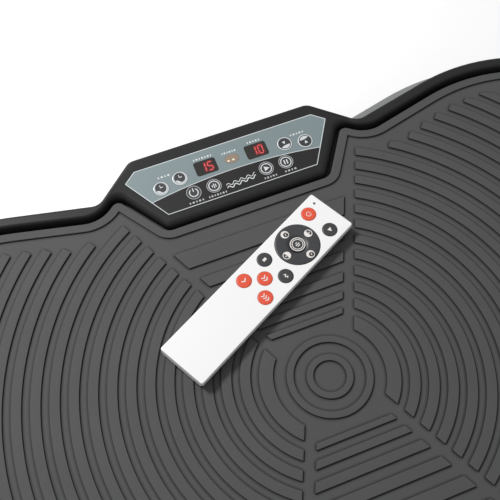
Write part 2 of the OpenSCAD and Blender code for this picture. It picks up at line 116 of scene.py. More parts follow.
def rounded(path, step=ARC_STEP):
    """The points of a path with every corner turned into an arc."""
    points = []
    for i, (x, y, r) in enumerate(path):
        corner = Vector((x, y))
        u = (Vector(path[i - 1][:2]) - corner).normalized()
        v = (Vector(path[(i + 1) % len(path)][:2]) - corner).normalized()
        half = acos(u.dot(v)) / 2
        centre = corner + (u + v).normalized() * r / sin(half)
        start = corner + u * r / tan(half) - centre
        end = corner + v * r / tan(half) - centre
        begin = atan2(start.y, start.x)
        turn = atan2(end.y, end.x) - begin
        turn = (turn + pi) % (2 * pi) - pi
        steps = max(2, ceil(abs(turn) / step))
        points += [polar(r, begin + turn * k / steps, *centre) for k in range(steps + 1)]
    return points


NOTCH = [(61.5, 137.5, 9), (86.5, 174.5, 5), (102.5, 161.8, 24)]
LOBE = [(311, 211.4, 130), (324, 0, 400), (311, -211.4, 130), (70, -152, 120)]
MAT_PATH = mirrored(NOTCH + LOBE)


def lobes(d):
    """The corners of the lobes alone, moved outwards by d."""
    return grown(MAT_PATH, d)[len(NOTCH):len(NOTCH) + len(LOBE)]


RIM_PATH = mirrored([(69.4, 199.5, 10), (100, 173.6, 10)] + lobes(RIM_W))
SKIRT_PATH = mirrored([(90, 163.4, 60)] + lobes(4.3))
BASE_PATH = mirrored([(72, BACK_Y, 80)] + lobes(RIM_W + BASE_OUT))
FACE_PATH = mirrored([(68.5, 40.8, 0.8), (77.6, 33.5, 0.8), (56.7, 0, 0.8)])


# A box's corners, clockwise
CORNERS = ((1, 1), (1, -1), (-1, -1), (-1, 1))


def turns(steps):
    """Even angles round a whole turn."""
    return [2 * pi * k / steps for k in range(steps)]


def oval(x, y, rx, ry, steps=40):
    return [Vector((x + rx * cos(t), y + ry * sin(t))) for t in turns(steps)]


def circle(x, y, r, steps=40):
    return oval(x, y, r, r, steps)


def box_outline(x, y, width, height, r=0.3):
    return rounded([(x + i * width / 2, y + j * height / 2, r) for i, j in CORNERS], radians(30))


def polar(r, angle, x=0.0, y=0.0):
    """The point at the distance r and that angle from (x, y)."""
    return Vector((x + r * cos(angle), y + r * sin(angle)))


def arc(x, y, r, start, end, steps=24):
    """Points on an arc, with its angles in degrees."""
    return [polar(r, radians(start + (end - start) * k / steps), x, y) for k in range(steps + 1)]


def fillet(d, z, r, start, end, steps=4):
    """The points [offset, height] of a small arc in a profile, with its angles in degrees."""
    return arc(d, z, r, start, end, steps)


def stroke(points, width):
    """The outline of a line of that width, drawn through the points."""
    points = [Vector(p) for p in points]
    left, right = [], []
    for i, p in enumerate(points):
        before = (p - points[i - 1]).normalized() if i else None
        after = (points[i + 1] - p).normalized() if i + 1 < len(points) else None
        u = before or after
        v = after or before
        side = mitre(u, v, 0.4) * width / 2
        left.append(p + side)
        right.append(p - side)
    return left + right[::-1]


# ---- Mesh building ----

def ring(bm, outline, z, place=None):
    """New vertices along an outline at the height z, which is a number or a function of the point."""
    points = [Vector((p[0], p[1], z(p) if callable(z) else z)) for p in outline]
    return [bm.verts.new(place @ p if place else p) for p in points]


def swept(bm, path, profile, place=None, step=ARC_STEP):
    """Rings of vertices round a path, one for each (offset, height) of the profile."""
    return [ring(bm, rounded(grown(path, d), step), z, place) for d, z in profile]


def skin(bm, rings, slot=0):
    """Quads between each ring of vertices and the next."""
    for a, b in zip(rings, rings[1:]):
        for i in range(len(a)):
            k = (i + 1) % len(a)
            face = bm.faces.new((a[i], a[k], b[k], b[i]))
            face.material_index = slot


def fill(bm, loops, slot=0, place=None, inner=(), height=None):
    """Fills what lies inside an odd number of the loops of vertices, seen from above.

    place says where the loops' own plane is, and inner adds points inside, at height(point)."""
    back = place.inverted() if place else Matrix.Identity(4)
    verts = [v for loop in loops for v in loop]
    flat = [(back @ v.co).xy for v in verts] + [Vector(p) for p in inner]
    outlines, start = [], 0
    for loop in loops:
        order = list(range(start, start + len(loop)))
        turning = sum(flat[a].cross(flat[b]) for a, b in zip(order, order[1:] + order[:1]))
        outlines.append(order if turning > 0 else order[::-1])
        start += len(loop)
    points, _, triangles, origin, _, inside = delaunay_2d_cdt(flat, [], outlines, 0, 1e-5)
    made = {}

    def vertex(i):
        if origin[i] and origin[i][0] < len(verts):
            return verts[origin[i][0]]
        if i not in made:
            made[i] = bm.verts.new((points[i].x, points[i].y, height(points[i])))
        return made[i]

    for triangle, within in zip(triangles, inside):
        if len(within) % 2:
            corners = [vertex(i) for i in triangle]
            if len(set(corners)) == 3 and bm.faces.get(corners) is None:
                bm.faces.new(corners).material_index = slot


def closed(bm, rings, place=None):
    """Skins the rings and fills both ends."""
    skin(bm, rings)
    fill(bm, [rings[0]], 0, place)
    fill(bm, [rings[-1]], 0, place)


def prism(bm, outlines, z0, z1, slot=0, place=None):
    """A closed solid between z0 and z1 over what lies inside an odd number of the outlines."""
    tops = [ring(bm, outline, z1, place) for outline in outlines]
    bottoms = [ring(bm, outline, z0, place) for outline in outlines]
    for top, bottom in zip(tops, bottoms):
        skin(bm, [bottom, top], slot)
    fill(bm, tops, slot, place)
    fill(bm, bottoms, slot, place)


def spun(bm, profile, place, steps):
    """Rings of vertices about the local Z axis, one for each (radius, height) of the profile."""
    return [ring(bm, circle(0, 0, r, steps), z, place) for r, z in profile]


def lathe(bm, profile, place=None, slots=None, steps=48):
    """A solid turned about the local Z axis. The profile's first and last points are on the axis."""
    rings = spun(bm, profile[1:-1], place, steps)
    slots = slots or [0] * (len(profile) - 1)
    for a, b, slot in zip(rings, rings[1:], slots[1:-1]):
        skin(bm, [a, b], slot)
    for (_, z), edge, slot in ((profile[0], rings[0], slots[0]), (profile[-1], rings[-1], slots[-1])):
        tip = ring(bm, [(0, 0)], z, place)[0]
        for a, b in zip(edge, edge[1:] + edge[:1]):
            bm.faces.new((a, b, tip)).material_index = slot


def hoop(bm, profile, place, steps):
    """A ring turned about the local Z axis from a closed profile that stays clear of the axis."""
    rings = spun(bm, profile, place, steps)
    skin(bm, rings + [rings[0]])


def shift(x, y, z=0.0):
    return Matrix.Translation((x, y, z))


def spin(angle):
    """A turn about the local Z axis."""
    return Matrix.Rotation(angle, 4, "Z")


SHARP = radians(32)
WELD_MM = 1e-4


def in_scene(name, data):
    """A new object in the scene."""
    thing = bpy.data.objects.new(name, data)
    bpy.context.scene.collection.objects.link(thing)
    return thing


def placed(name, bm):
    """A new object from a bmesh in millimetres."""
    bmesh.ops.scale(bm, vec=(MM, MM, MM), verts=bm.verts)
    mesh = bpy.data.meshes.new(name)
    bm.to_mesh(mesh)
    bm.free()
    return in_scene(name, mesh)


def finished(name, bm, body, materials, nodes=()):
    """Turns the bmesh, in millimetres, into a piece that rides on a body and stands for CAD nodes."""
    bmesh.ops.remove_doubles(bm, verts=bm.verts, dist=WELD_MM)
    bmesh.ops.recalc_face_normals(bm, faces=bm.faces)
    piece = placed(name, bm)
    piece.data.shade_smooth()
    piece.data.set_sharp_from_angle(angle=SHARP)
    for m in materials:
        piece.data.materials.append(m)
    even_normals(piece)
    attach(piece, body)
    if nodes:
        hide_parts(*nodes)
    return piece


def even_normals(piece):
    adjusted(piece.modifiers.new("even_normals", "WEIGHTED_NORMAL"), keep_sharp=True, weight=90)


def carve(piece, boxes):
    """Cuts boxes, each (place, size) in millimetres, out of a finished piece."""
    bm = bmesh.new()
    for place, size in boxes:
        bmesh.ops.create_cube(bm, size=1, matrix=place @ Matrix.Diagonal((*size, 1)))
    cutter = placed("cutter", bm)
    piece.modifiers.clear()
    adjusted(piece.modifiers.new("openings", "BOOLEAN"), object=cutter, operation="DIFFERENCE",
             solver="EXACT")
    bpy.context.view_layer.update()
    piece.data = bpy.data.meshes.new_from_object(
        piece.evaluated_get(bpy.context.evaluated_depsgraph_get()))
    piece.modifiers.clear()
    bpy.data.objects.remove(cutter)
    even_normals(piece)


# ---- Materials ----

# Depths and distances are in millimetres here too, and a grain is in features a metre.

GLOSS_SPREAD = 0.12
# How strongly the painted shade in creases darkens the colour
PAINTED_SHADE_POWER = 3.0


def new_material(name):
    material = bpy.data.materials.new(name)
    material.use_nodes = True
    tree = material.node_tree
    return material, tree, tree.nodes["Principled BSDF"]


def wire(tree, node, inputs):
    """Sets each of those inputs of the node to a value, or links it to an output."""
    for name, value in inputs.items():
        if isinstance(value, bpy.types.NodeSocket):
            tree.links.new(value, node.inputs[name])
        else:
            node.inputs[name].default_value = value


def add_node(tree, kind, inputs, **settings):
    """A new shader node."""
    node = adjusted(tree.nodes.new("ShaderNode" + kind), **settings)
    wire(tree, node, inputs)
    return node


def noise_field(tree, scale, detail, stretch=(1, 1, 1)):
    """A noise value over the object's own coordinates, at scale features a metre."""
    where = add_node(tree, "TexCoord", {})
    mapping = add_node(tree, "Mapping", {"Vector": where.outputs["Object"], "Scale": stretch})
    field = {"Vector": mapping.outputs["Vector"], "Scale": scale, "Detail": detail}
    return add_node(tree, "TexNoise", field).outputs["Fac"]


def ranged(tree, value, lowest, highest):
    """The noise value spread from lowest to highest."""
    spread = {"Value": value, "From Min": 0.3, "From Max": 0.7, "To Min": lowest, "To Max": highest}
    return add_node(tree, "MapRange", spread).outputs["Result"]


def mixed(tree, factor, dark, light):
    colours = {"Factor": factor, "A": (*dark, 1), "B": (*light, 1)}
    return add_node(tree, "Mix", colours, data_type="RGBA").outputs["Result"]


def painted_crease_shade(tree, colour, reach):
    """The colour with painted shade: darkened where a wall of the same piece is nearer than the reach, as
    shade falls in creases.
    """
    sky = add_node(tree, "AmbientOcclusion", {"Distance": reach * MM}, only_local=True)
    painted_shade = add_node(tree, "Math", {0: sky.outputs["AO"], 1: PAINTED_SHADE_POWER}, operation="POWER")
    scaled = add_node(tree, "VectorMath", {0: colour, "Scale": painted_shade.outputs[0]}, operation="SCALE")
    return scaled.outputs[0]


def surface(name, colour, rough, vary=0.12, grain=2500, depth=0.02, patch=25, metal=0.0, coat=0.0,
            specular=0.5, stretch=(1, 1, 1), painted_shade_reach=0.0):
    """A plastic, rubber, paint or metal: mottled colour, uneven gloss and a fine grain of that depth, with
    painted shade darkening its creases when given a reach for it.
    """
    material, tree, shader = new_material(name)
    fine = noise_field(tree, grain, 2, stretch)
    dark = [c * (1 - vary) for c in colour]
    light = [min(1.0, c * (1 + vary)) for c in colour]
    mottled = mixed(tree, noise_field(tree, patch, 4), dark, light)
    # Painted shade: the colour darkens in creases, where shade falls
    if painted_shade_reach:
        mottled = painted_crease_shade(tree, mottled, painted_shade_reach)
    uneven = ranged(tree, fine, rough * (1 - GLOSS_SPREAD), min(1.0, rough * (1 + GLOSS_SPREAD)))
    bump = add_node(tree, "Bump", {"Height": fine, "Distance": depth * MM})
    wire(tree, shader, {"Base Color": mottled, "Roughness": uneven, "Normal": bump.outputs["Normal"],
                        "Metallic": metal, "Coat Weight": coat, "Specular IOR Level": specular})
    return material


def printed(name, colour):
    """A printing ink."""
    return surface(name, colour, 0.45, vary=0.05, grain=5000, depth=0.004)


def glowing(name, colour, strength):
    """Lit display segments, a little uneven, as behind a diffuser."""
    material, tree, shader = new_material(name)
    uneven = mixed(tree, noise_field(tree, 900, 2), [c * 0.8 for c in colour], colour)
    wire(tree, shader, {"Base Color": uneven, "Emission Color": uneven, "Emission Strength": strength,
                        "Roughness": 0.4})
    return material


SHELL_BLACK = surface("shell_black_plastic", (0.016, 0.0162, 0.017), 0.5, grain=3200, depth=0.012,
                      specular=0.22)
TRAY_BLACK = surface("tray_black_plastic", (0.014, 0.014, 0.0155), 0.5, grain=1500, depth=0.05)
TRIM_SILVER = surface("trim_silver_paint", (0.20, 0.203, 0.206), 0.34, vary=0.04, grain=5200, metal=0.35,
                      depth=0.006, coat=0.15)
# The mat's colour carries painted shade at the foot of its ribs and border
MAT_RUBBER = surface("mat_rubber", (0.060, 0.060, 0.061), 0.72, vary=0.1, grain=2100, depth=0.06,
                     specular=0.4, painted_shade_reach=2.2)
FOOT_RUBBER = surface("foot_rubber", (0.012, 0.012, 0.013), 0.55, grain=1200)
BELT_RUBBER = surface("belt_rubber", (0.014, 0.014, 0.014), 0.65, grain=900)
FRAME_PAINT = surface("frame_powder_coat", (0.03, 0.032, 0.036), 0.48, grain=1100, depth=0.06)
ZINC = surface("zinc_plate", (0.42, 0.43, 0.45), 0.34, vary=0.16, grain=700, patch=60, metal=1.0,
               depth=0.01)
BRIGHT_STEEL = surface("ground_steel", (0.62, 0.63, 0.65), 0.22, vary=0.06, grain=1800, metal=1.0,
                       depth=0.006, stretch=(1, 0.05, 1))
CAST = surface("cast_iron", (0.09, 0.095, 0.1), 0.62, grain=600, depth=0.12, metal=0.5)
ALLOY = surface("turned_alloy", (0.55, 0.56, 0.58), 0.3, vary=0.06, grain=1500, metal=1.0,
                depth=0.01, stretch=(1, 0.05, 1))
COPPER = surface("enamelled_copper", (0.45, 0.17, 0.06), 0.3, grain=1600, metal=0.9, depth=0.08,
                 stretch=(1, 0.08, 1))
BOARD = surface("solder_mask", (0.012, 0.10, 0.038), 0.36, grain=900, depth=0.03)
SWITCH_RED = surface("switch_red_plastic", (0.50, 0.022, 0.016), 0.24, vary=0.05, grain=3000,
                     depth=0.005)
FACE_SILVER = surface("face_silver_film", (0.190, 0.240, 0.252), 0.46, vary=0.05, grain=4200, patch=9,
                      depth=0.008, metal=0.15)
FACE_BLACK = surface("face_black_film", (0.016, 0.0155, 0.0155), 0.45, vary=0.1, grain=4200,
                     depth=0.008, specular=0.3)
PRINT_WHITE = printed("white_print", (0.62, 0.645, 0.65))
PRINT_GREY = printed("grey_print", (0.30, 0.305, 0.305))
CAPTION_GREY = printed("caption_print", (0.45, 0.455, 0.45))
KEY_PRINT = printed("key_print", (0.72, 0.68, 0.65))
KEY_SILVER = surface("key_silver_film", (0.60, 0.63, 0.645), 0.3, vary=0.05, grain=4200, metal=0.1,
                     depth=0.006, coat=0.2)
KEY_BLACK = surface("key_black_plastic", (0.030, 0.031, 0.034), 0.44, grain=3500, depth=0.01)
KEY_RED = surface("key_red_plastic", (0.66, 0.072, 0.030), 0.42, vary=0.05, grain=3500, depth=0.01)
REMOTE_WHITE = surface("remote_white_plastic", (0.784, 0.780, 0.780), 0.42, vary=0.012, grain=3800,
                       depth=0.008)
WINDOW_DARK = surface("smoked_window", (0.020, 0.019, 0.017), 0.14, vary=0.1, grain=2600,
                      depth=0.002, coat=0.4)
IR_AMBER = surface("infrared_window", (0.27, 0.205, 0.155), 0.2, vary=0.1, grain=1500, depth=0.004,
                   coat=0.5)
IR_LIGHT = surface("infrared_diode", (0.75, 0.66, 0.52), 0.25, vary=0.08, grain=2500, depth=0.004)
LAMP_GREY = surface("lamp_smoked", (0.10, 0.09, 0.09), 0.25, vary=0.1, grain=2500, depth=0.004)
DIGIT_HALO = glowing("digit_halo", (0.15, 0.004, 0.009), 0.6)
DIGIT_RED = glowing("lit_segments", (0.62, 0.12, 0.10), 0.66)


# ---- Camera, floor and light ----

CAMERA_AT = Vector((-0.1151, -0.1575, 0.6518))
CAMERA_YAW, CAMERA_RISE, CAMERA_ROLL = radians(-21.24), radians(61.99), radians(-0.41)
LENS, SENSOR = 62.7, 36
FLOOR_REACH = 4
SURROUND = 0.46
LIGHT_AIM = Vector((0, 0.05, 0.12))
# Where each soft round light is, how wide, and how strong
LIGHTS = {"key_light": ((-0.62, 1.05, 1.35), 0.4, 26), "left_light": ((-1.6, -0.2, 1.3), 1.0, 3)}


def camera():
    """Looks down on the console and the remote from in front, a little from the left."""
    back = Vector((*polar(cos(CAMERA_RISE), CAMERA_YAW - pi / 2), sin(CAMERA_RISE)))
    right = Vector((0, 0, 1)).cross(back).normalized()
    axes = Matrix((right, back.cross(right), back)).transposed().to_4x4()
    data = bpy.data.cameras.new("camera")
    eye = in_scene("camera", adjusted(data, lens=LENS, sensor_width=SENSOR))
    eye.matrix_world = shift(*CAMERA_AT) @ axes @ spin(CAMERA_ROLL)
    bpy.context.scene.camera = eye


def studio():
    """A pale floor, a bright even surround and two soft lights, the stronger from behind on the left."""
    mesh = bpy.data.meshes.new("floor")
    corners = [(x * FLOOR_REACH, y * FLOOR_REACH, 0) for x, y in reversed(CORNERS)]
    mesh.from_pydata(corners, [], [(0, 1, 2, 3)])
    mesh.materials.append(surface("floor_white", (0.93, 0.93, 0.93), 0.7, vary=0.01, depth=0.005))
    in_scene("floor", mesh)
    world = bpy.data.worlds.new("surround")
    bpy.context.scene.world = world
    world.use_nodes = True
    tree = world.node_tree
    wire(tree, tree.nodes["Background"], {"Color": (1, 1, 1, 1), "Strength": SURROUND})
    for name, (place, size, power) in LIGHTS.items():
        data = bpy.data.lights.new(name, "AREA")
        light = in_scene(name, adjusted(data, shape="DISK", size=size, energy=power))
        light.location = place
        light.rotation_euler = (LIGHT_AIM - light.location).to_track_quat("-Z", "Y").to_euler()
    bpy.context.scene.view_settings.view_transform = "Standard"


# ---- The deck's shell, with its rim and hood ----

RIM_ROUND, RECESS_ROUND, HOOD_ROUND = 2.4, 2.2, 4.6
ROUND_STEPS = 6
# How far out along X the hood's slope, and its broad edge, fade into the rim's
HOOD_FADE, EDGE_FADE = (79.5, 100.0), (84, 98)
FILM_T, POCKET_FLOOR, POCKET_LEDGE = 0.5, -6.1, 3
FACE_ROUND, FACE_GAP = 0.35, 0.1
HOOD_SPAN, HOOD_BACK, HOOD_FRONT, GRID_PITCH = 104, 198, 142, 4
CLEAR = 1.5


def eased(value, start, end):
    t = min(1.0, max(0.0, (value - start) / (end - start)))
    return t * t * (3 - 2 * t)


def top_height(p):
    """The shell's top: level along the rim, and sloping with the console on the hood."""
    if p[1] < 0:
        return RIM_Z
    slope = CONSOLE_Z + (p[1] - CONSOLE_Y) * tan(CONSOLE_TILT)
    return slope + (RIM_Z - slope) * eased(abs(p[0]), *HOOD_FADE)


def recess_round(p):
    """The rounding of the recess's upper edge: broad along the hood, small along the rim."""
    if p[1] < 0:
        return RECESS_ROUND
    return HOOD_ROUND + (RECESS_ROUND - HOOD_ROUND) * eased(abs(p[0]), *EDGE_FADE)


def console_place(x=0.0, y=0.0, z=0.0):
    """Where a point of the console's own slope is."""
    return shift(0, CONSOLE_Y, CONSOLE_Z) @ Matrix.Rotation(CONSOLE_TILT, 4, "X") @ shift(x, y, z)


def rounding():
    """Each step of a rounded edge, as the sine and cosine of its angle."""
    angles = [pi / 2 * k / ROUND_STEPS for k in range(ROUND_STEPS + 1)]
    return [(sin(angle), cos(angle)) for angle in angles]


def outer_wall(bm):
    """The deck's outer wall, from its floor up to the rim's rounded edge."""
    lip = 0.5
    foot = WALL_Z + lip
    wall = ([(-SHELL_T, DECK_FLOOR), (-SHELL_T, foot)] + fillet(lip - SHELL_T, foot, lip, 180, 270, 2)
            + fillet(-lip, foot, lip, 270, 360, 2))
    rings = swept(bm, RIM_PATH, wall)
    outer, inset = rounded(RIM_PATH), rounded(grown(RIM_PATH, -RIM_ROUND))
    for rise, level in rounding():
        tops = [top_height(p) - RIM_ROUND * (1 - rise) for p in inset]
        rings.append([bm.verts.new((*a.lerp(b, 1 - level), z)) for a, b, z in zip(outer, inset, tops)])
    return rings


def recess_wall(bm):
    """The mat's recess, from its rounded upper edge down to its floor."""
    foot = 0.8
    wall = rounded(grown(MAT_PATH, SHELL_T))
    outwards = [b - a for a, b in zip(wall, rounded(grown(MAT_PATH, SHELL_T + 1)))]
    rings = []
    for fall, level in rounding():
        edge = []
        for p, way in zip(wall, outwards):
            r = recess_round(p)
            height = top_height(p + way * r) - r * (1 - level)
            edge.append(bm.verts.new((*(p + way * r * (1 - fall)), height)))
        rings.append(edge)
    return rings + swept(bm, MAT_PATH, fillet(SHELL_T - foot, RECESS_Z + foot, foot, 0, -90, 2))


def deck_shell():
    """One moulding: outer wall, rounded rim, the hood with its pocket, and the mat's recess."""
    bm = bmesh.new()
    outer = outer_wall(bm)
    recess = recess_wall(bm)
    pocket = swept(bm, FACE_PATH, [(FACE_ROUND, 0), (FACE_GAP, FACE_GAP - FACE_ROUND), (FACE_GAP, -FILM_T),
                                   (-POCKET_LEDGE, -FILM_T), (-POCKET_LEDGE, POCKET_FLOOR)], console_place())
    for rings in (outer, recess, pocket):
        skin(bm, rings)
    for floor in (outer[0], recess[-1], pocket[-1]):
        fill(bm, [floor])
    fill(bm, [outer[-1], recess[0], pocket[0]], inner=hood_grid(), height=top_height)
    skirt(bm)
    return finished("deck_shell", bm, "deck", [SHELL_BLACK], ["top_shell", "rim_hood"])


def hood_grid():
    """Points on the hood's flat top, well clear of its edges, which keep its slope even."""
    rim = rounded(grown(RIM_PATH, -RIM_ROUND - CLEAR))
    recess = rounded(grown(MAT_PATH, SHELL_T + HOOD_ROUND + CLEAR))
    pocket = [console_place() @ p.to_3d() for p in rounded(grown(FACE_PATH, FACE_ROUND + CLEAR))]
    return [(x, y) for x in range(-HOOD_SPAN, HOOD_SPAN + 1, GRID_PITCH)
            for y in range(HOOD_FRONT, HOOD_BACK, GRID_PITCH)
            if inside(rim, x, y) and not inside(recess, x, y) and not inside(pocket, x, y)]


def inside(points, x, y):
    """Whether (x, y) is inside a closed outline."""
    found = False
    for i, b in enumerate(points):
        a = points[i - 1]
        if (a[1] > y) != (b[1] > y) and x < a[0] + (b[0] - a[0]) * (y - a[1]) / (b[1] - a[1]):
            found = not found
    return found


def skirt(bm):
    """The inner wall that hangs from the shell inside the base's silver ring."""
    thick, lip = 2.5, 0.5
    profile = ([(0, DECK_FLOOR + lip), (0, SKIRT_Z + lip)] + fillet(-lip, SKIRT_Z + lip, lip, 0, -90, 2)
               + fillet(lip - thick, SKIRT_Z + lip, lip, -90, -180, 2) + [(-thick, DECK_FLOOR + lip)])
    rings = swept(bm, SKIRT_PATH, profile)
    skin(bm, rings + [rings[0]])


# ---- The rubber mat ----

RING_BANDS = [(10.6, 14.9), (23.1, 27.6)]
FIRST_BAND = (36.1, 45.2)
RIB_START, RIB_PITCH, RIB_W, RIB_COUNT = 50.6, 12.0, 6.6, 22
BORDER_W = 6.3
RIB_INSET = BORDER_W + 8.9
BARS = [(36.6, 40.5), (46.3, 51.3), (58, 64.1), (71.6, 78.6), (87.1, 95.4), (104.8, 118.3)]
SECTOR, ARC_START, BAR_END = radians(25.2), 15.0, 7.3
RIB_EDGE, RIB_DRAFT = 0.32, 0.05
RIB_STEP = radians(2)
SHORTEST = 1.2
MAT_ROUND, FOOT_ROUND = 0.9, 0.35


def border_distance(outline, angle):
    """How far the outline is from the middle, in that direction."""
    way = polar(1, angle)
    furthest = 0.0
    for i, b in enumerate(outline):
        a = outline[i - 1]
        edge = b - a
        across = way.cross(edge)
        if abs(across) > 1e-9:
            t = a.cross(edge) / across
            s = a.cross(way) / across
            if t > 0 and -1e-9 <= s <= 1 + 1e-9:
                furthest = max(furthest, t)
    return furthest


def rib_end(r):
    """The angle at which a curved rib's edge of that radius ends, beside the bars."""
    return acos(ARC_START / r) - SECTOR


def half_rib(outline, r0, r1, side):
    """One half of a curved rib, from the X axis to its end: the outer edge's points and the inner's."""
    outer = []
    last = rib_end(r1)
    count = ceil(last / RIB_STEP)
    for k in range(count + 1):
        angle = last * k / count
        reach = min(r1, border_distance(outline, side * angle))
        if reach - r0 < SHORTEST:
            break
        outer.append(polar(reach, side * angle))
    if not outer:
        return [], []
    end = rib_end(r0)
    if len(outer) <= count:
        end = min(end, atan2(abs(outer[-1].y), outer[-1].x))
    inner = [polar(r0, side * end * k / max(1, len(outer) - 1)) for k in range(len(outer))]
    return outer, inner


def rib_outlines():
    """The closed outlines of every raised rib and bar. A full ring has two."""
    found = []
    for r0, r1 in RING_BANDS:
        found += [circle(0, 0, r1, 96), circle(0, 0, r0, 96)[::-1]]
    border = rounded(grown(MAT_PATH, -RIB_INSET))
    bands = [FIRST_BAND] + [(RIB_START + i * RIB_PITCH, RIB_START + i * RIB_PITCH + RIB_W)
                            for i in range(RIB_COUNT)]
    for r0, r1 in bands:
        outer_up, inner_up = half_rib(border, r0, r1, 1)
        outer_down, inner_down = half_rib(border, r0, r1, -1)
        loop = outer_down[:0:-1] + outer_up + inner_up[::-1] + inner_down[1:]
        found.append(loop)
        found.append([Vector((-p.x, p.y)) for p in reversed(loop)])
    for r0, r1 in BARS:
        near, far = [(BAR_END + r * sin(SECTOR)) / cos(SECTOR) for r in (r0, r1)]
        bar = [Vector((-near, r0)), Vector((near, r0)), Vector((far, r1)), Vector((-far, r1))]
        found.append(bar)
        found.append([Vector((p.x, -p.y)) for p in reversed(bar)])
    return found


def shrunk(outline, d):
    """An anticlockwise outline moved inwards by d, with its sharp corners kept short."""
    moved = []
    for i, p in enumerate(outline):
        u = (p - outline[i - 1]).normalized()
        v = (outline[(i + 1) % len(outline)] - p).normalized()
        moved.append(p + mitre(u, v, 0.5) * d)
    return moved


def rubber_mat():
    """The mat: raised border, rings, curved ribs and bars, each with a soft edge and a drafted wall."""
    bm = bmesh.new()
    edge = ([(-0.5, RECESS_Z), (0, RECESS_Z + 0.5)]
            + fillet(-MAT_ROUND, MAT_TOP - MAT_ROUND, MAT_ROUND, 0, 90)
            + fillet(RIB_EDGE - BORDER_W, MAT_TOP - RIB_EDGE, RIB_EDGE, 90, 180, 3)
            + fillet(-BORDER_W - FOOT_ROUND, MAT_Z + FOOT_ROUND, FOOT_ROUND, 0, -90, 2))
    rings = swept(bm, MAT_PATH, edge)
    skin(bm, rings)
    fill(bm, [rings[0]])
    feet, tops = [rings[-1]], []
    for outline in rib_outlines():
        profile = ([(-RIB_DRAFT, MAT_Z), (0, MAT_Z + RIB_DRAFT)]
                   + [(RIB_EDGE - d, z) for d, z in fillet(0, MAT_TOP - RIB_EDGE, RIB_EDGE, 0, 90, 2)])
        rib = [ring(bm, shrunk(outline, d), z) for d, z in profile]
        skin(bm, rib)
        feet.append(rib[0])
        tops.append(rib[-1])
    fill(bm, feet)
    fill(bm, tops)
    return finished("ribbed_mat", bm, "deck", [MAT_RUBBER], ["rubber_mat"])


# ---- The base: tray, silver ring and feet ----

# How far in the tray's lower tier is, its wall, and how far the tray keeps inside the base's outline
STEP_IN, TRAY_T, TRAY_IN = 7.0, 3.0, 0.1
# What comes out through the tray's back wall, and the opening that it needs
PORTS = {"mains_inlet": (28, 20), "fuse_drawer": (20, 6.4), "switch_frame": (13, 19)}
PORT_DEPTH = 12
TRIM_GAP = 4.6


def base_tray():
    """The tray's two tiers with soft edges, and the openings for the inlet, fuse and switch."""
    bm = bmesh.new()
    profile = (fillet(-STEP_IN - 1.5, TRAY_FLOOR + 1.5, 1.5, -90, 0)
               + [(-STEP_IN, STEP_Z - 0.4), (-STEP_IN + 0.4, STEP_Z)]
               + fillet(-1.0, STEP_Z + 1.0, 1.0, -90, 0, 3)
               + fillet(-0.6, TRAY_Z - 0.6, 0.6, 0, 90, 3)
               + [(-TRAY_T, TRAY_Z), (-TRAY_T, STEP_Z + TRAY_T), (-STEP_IN - TRAY_T, STEP_Z + TRAY_T),
                  (-STEP_IN - TRAY_T, TRAY_FLOOR + TRAY_T)])
    closed(bm, swept(bm, BASE_PATH, [(d - TRAY_IN, z) for d, z in profile]))
    tray = finished("tray_shell", bm, "base", [TRAY_BLACK], ["base_tray"])
    openings = []
    for node, (width, height) in PORTS.items():
        middle = (low(node) + high(node)) / 2
        z = middle.z if node == "fuse_drawer" else PORT_Z
        openings.append((shift(middle.x, BACK_Y, z), (width, PORT_DEPTH, height)))
    carve(tray, openings)
    return tray


def side_ring():
    """The silver ring: it slopes up from the tray's edge and ends in the gap round the skirt."""
    bm = bmesh.new()
    slope = ([(-1.2, TRAY_Z + 0.1), (-1.2, TRAY_Z + 1.2)] + fillet(-2.4, TRAY_Z + 1.2, 1.2, 0, 60, 3)
             + [(-5.4, TRAY_Z + 4.3), (-9.6, TRAY_Z + 6.9), (-13.2, TRIM_TOP - 0.7), (-16, TRIM_TOP)])
    rings = swept(bm, BASE_PATH, slope)
    gap = swept(bm, SKIRT_PATH, [(TRIM_GAP + 0.6, TRIM_TOP), (TRIM_GAP, TRIM_TOP - 0.6),
                                 (TRIM_GAP, TRAY_Z + 0.1)])
    skin(bm, rings)
    skin(bm, gap)
    fill(bm, [rings[-1], gap[0]])
    fill(bm, [rings[0], gap[-1]])
    return finished("silver_ring", bm, "base", [TRIM_SILVER], ["side_trim"])


FOOT_SPOTS = [(x, y) for x in (-285, 0, 285) for y in (-132, 132)]


def feet():
    """Six suction feet: a flared cup, a waisted neck and a stud into the chassis."""
    bm = bmesh.new()
    top = high("suction_feet").z
    cup = [(0, 3.2), (8, 2.6), (13.6, 0.3), (14.2, 0), (19.6, 0), (20.5, 0.3), (20.9, 1.2), (20.2, 2.0),
           (16.6, 3.3), (14.2, 4.2), (13.1, 5.6), (12.5, 7.4), (12.9, 8.2), (12.9, 9.0), (12.3, 9.8),
           (12.0, 11.6), (11.4, 12.0), (4.0, 12.0), (4.0, top - 0.6), (3.4, top), (0, top)]
    for x, y in FOOT_SPOTS:
        lathe(bm, cup, shift(x, y))
    return finished("rubber_feet", bm, "base", [FOOT_RUBBER], ["suction_feet"])


# ---- The console ----

DISPLAY_W, DISPLAY_H, WINDOW_R = 16.2, 11.4, 1.7
DISPLAYS = {(-19, 26.6): "15", (19.8, 26.6): "10"}
IR_SPOT, IR_SIZE = (0.8, 26.4), (5.4, 3.6)
UPPER_KEYS = {"time_down_key": (-54.7, 21.2), "time_up_key": (-39.5, 24.3),
              "speed_down_key": (41, 24.4), "speed_up_key": (56, 21.4)}
LOWER_KEYS = {"power_key": (-34.2, 10.2), "program_key": (-19, 10.2), "start_key": (20.9, 10.2),
              "pause_key": (36.1, 10.2)}
KEY_R, KEY_GAP = 5.5, 0.2
DIVIDER_END, DIVIDER_RISE = (64.5, 12.8), 5.3
# How high print stands above its surface, and how deep it starts
INK, SUNK = 0.04, -0.02
